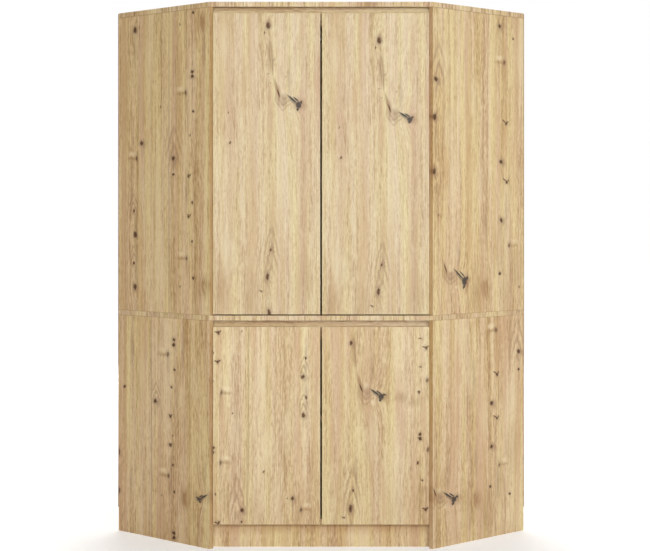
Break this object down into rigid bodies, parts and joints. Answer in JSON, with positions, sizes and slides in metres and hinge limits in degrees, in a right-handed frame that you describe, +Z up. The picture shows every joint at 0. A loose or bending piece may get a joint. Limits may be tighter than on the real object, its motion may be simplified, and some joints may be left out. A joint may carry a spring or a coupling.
{
  "type": "corner wardrobe",
  "caption": "Corner wardrobe with a diagonal front: two storeys of handleless hinged doors, a shelf below and a hanging rail above.",
  "frame": {"origin": "on the floor, under the middle of the bounding box", "axes": "+Z up; the doors face -Y and the corner of the two walls is at +Y; +X to the right seen from the front"},
  "size_m": [1.4142, 1.0466, 1.8],
  "materials": {
    "oak_melamine": "matt knotty light oak melamine on chipboard",
    "hardboard": "plain hardboard",
    "nickel": "nickel-plated steel",
    "chrome_tube": "bright chrome"
  },
  "bodies": {
    "carcass": {"top_board": "oak_melamine", "middle_board": "oak_melamine", "bottom_board": "oak_melamine", "plinth_board": "oak_melamine", "front_rail_lower": "oak_melamine", "front_rail_upper": "oak_melamine", "rear_upright_lower": "oak_melamine", "rear_upright_upper": "oak_melamine", "shelf": "oak_melamine", "side_panel_lower_left": "oak_melamine", "back_sheet_lower_left": "hardboard", "side_panel_upper_left": "oak_melamine", "back_sheet_upper_left": "hardboard", "shelf_pin_left_front": "nickel", "shelf_pin_left_rear": "nickel", "shelf_pin_left_corner": "nickel", "rail_bracket_left": "nickel", "side_panel_lower_right": "oak_melamine", "back_sheet_lower_right": "hardboard", "side_panel_upper_right": "oak_melamine", "back_sheet_upper_right": "hardboard", "shelf_pin_right_front": "nickel", "shelf_pin_right_rear": "nickel", "shelf_pin_right_corner": "nickel", "rail_bracket_right": "nickel", "hanging_rail": "chrome_tube", "hinge_arm_lower_left_1": "nickel", "hinge_arm_lower_left_2": "nickel", "hinge_arm_lower_right_1": "nickel", "hinge_arm_lower_right_2": "nickel", "hinge_arm_upper_left_1": "nickel", "hinge_arm_upper_left_2": "nickel", "hinge_arm_upper_left_3": "nickel", "hinge_arm_upper_right_1": "nickel", "hinge_arm_upper_right_2": "nickel", "hinge_arm_upper_right_3": "nickel"},
    "door_lower_left": {"door_lower_left": "oak_melamine", "hinge_cup_lower_left_1": "nickel", "hinge_cup_lower_left_2": "nickel"},
    "hinge_links_lower_left": {"hinge_link_lower_left_1": "nickel", "hinge_link_lower_left_2": "nickel"},
    "door_lower_right": {"door_lower_right": "oak_melamine", "hinge_cup_lower_right_1": "nickel", "hinge_cup_lower_right_2": "nickel"},
    "hinge_links_lower_right": {"hinge_link_lower_right_1": "nickel", "hinge_link_lower_right_2": "nickel"},
    "door_upper_left": {"door_upper_left": "oak_melamine", "hinge_cup_upper_left_1": "nickel", "hinge_cup_upper_left_2": "nickel", "hinge_cup_upper_left_3": "nickel"},
    "hinge_links_upper_left": {"hinge_link_upper_left_1": "nickel", "hinge_link_upper_left_2": "nickel", "hinge_link_upper_left_3": "nickel"},
    "door_upper_right": {"door_upper_right": "oak_melamine", "hinge_cup_upper_right_1": "nickel", "hinge_cup_upper_right_2": "nickel", "hinge_cup_upper_right_3": "nickel"},
    "hinge_links_upper_right": {"hinge_link_upper_right_1": "nickel", "hinge_link_upper_right_2": "nickel", "hinge_link_upper_right_3": "nickel"}
  },
  "joints": [
    {"name": "door_lower_left_swing", "type": "hinge", "parent": "carcass", "child": "door_lower_left", "pos_m": [-0.35538, -0.52226, 0.406], "axis": [0, 0, -1], "range_deg": [0, 100]},
    {"name": "hinge_links_lower_left_swing", "type": "hinge", "parent": "carcass", "child": "hinge_links_lower_left", "pos_m": [-0.35538, -0.52226, 0.406], "axis": [0, 0, -1], "range_deg": [0, 80]},
    {"name": "door_lower_right_swing", "type": "hinge", "parent": "carcass", "child": "door_lower_right", "pos_m": [0.35538, -0.52226, 0.406], "axis": [0, 0, 1], "range_deg": [0, 100]},
    {"name": "hinge_links_lower_right_swing", "type": "hinge", "parent": "carcass", "child": "hinge_links_lower_right", "pos_m": [0.35538, -0.52226, 0.406], "axis": [0, 0, 1], "range_deg": [0, 80]},
    {"name": "door_upper_left_swing", "type": "hinge", "parent": "carcass", "child": "door_upper_left", "pos_m": [-0.35538, -0.52226, 1.267], "axis": [0, 0, -1], "range_deg": [0, 100]},
    {"name": "hinge_links_upper_left_swing", "type": "hinge", "parent": "carcass", "child": "hinge_links_upper_left", "pos_m": [-0.35538, -0.52226, 1.267], "axis": [0, 0, -1], "range_deg": [0, 80]},
    {"name": "door_upper_right_swing", "type": "hinge", "parent": "carcass", "child": "door_upper_right", "pos_m": [0.35538, -0.52226, 1.267], "axis": [0, 0, 1], "range_deg": [0, 100]},
    {"name": "hinge_links_upper_right_swing", "type": "hinge", "parent": "carcass", "child": "hinge_links_upper_right", "pos_m": [0.35538, -0.52226, 1.267], "axis": [0, 0, 1], "range_deg": [0, 80]}
  ],
  "couplings": [
    {"joint": "hinge_links_lower_left_swing", "follows": "door_lower_left_swing", "ratio": 0.8},
    {"joint": "hinge_links_lower_right_swing", "follows": "door_lower_right_swing", "ratio": 0.8},
    {"joint": "hinge_links_upper_left_swing", "follows": "door_upper_left_swing", "ratio": 0.8},
    {"joint": "hinge_links_upper_right_swing", "follows": "door_upper_right_swing", "ratio": 0.8}
  ]
}
